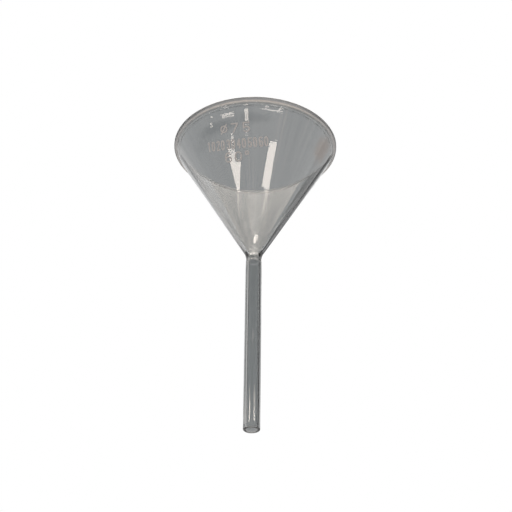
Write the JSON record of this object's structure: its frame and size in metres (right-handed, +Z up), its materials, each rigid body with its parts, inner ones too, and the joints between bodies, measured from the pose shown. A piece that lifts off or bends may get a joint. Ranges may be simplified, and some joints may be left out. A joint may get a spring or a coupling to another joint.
{
  "type": "filter funnel",
  "caption": "Long-stem conical filter funnel in clear glass: a 60 degree bowl with a beaded rim, sealed at the neck to a straight stem tube, with a small enamel print.",
  "frame": {"origin": "on the axis, at the top of the straight stem, just under the neck seal; this is the upper end of the stem_outside mount", "axes": "+Z up the axis from the stem to the mouth; the enamel print faces -Y, turned 18 degrees towards -X"},
  "size_m": [0.075, 0.075, 0.1406],
  "materials": {
    "glass": "clear, fire-polished",
    "enamel": "fired ceramic print, satin"
  },
  "bodies": {
    "root": {"bowl": "glass", "rim_bead": "glass", "neck_seal": "glass", "stem": "glass", "stem_tip": "glass", "size_figures": "enamel", "number_row": "enamel", "angle_figures": "enamel"}
  },
  "joints": []
}
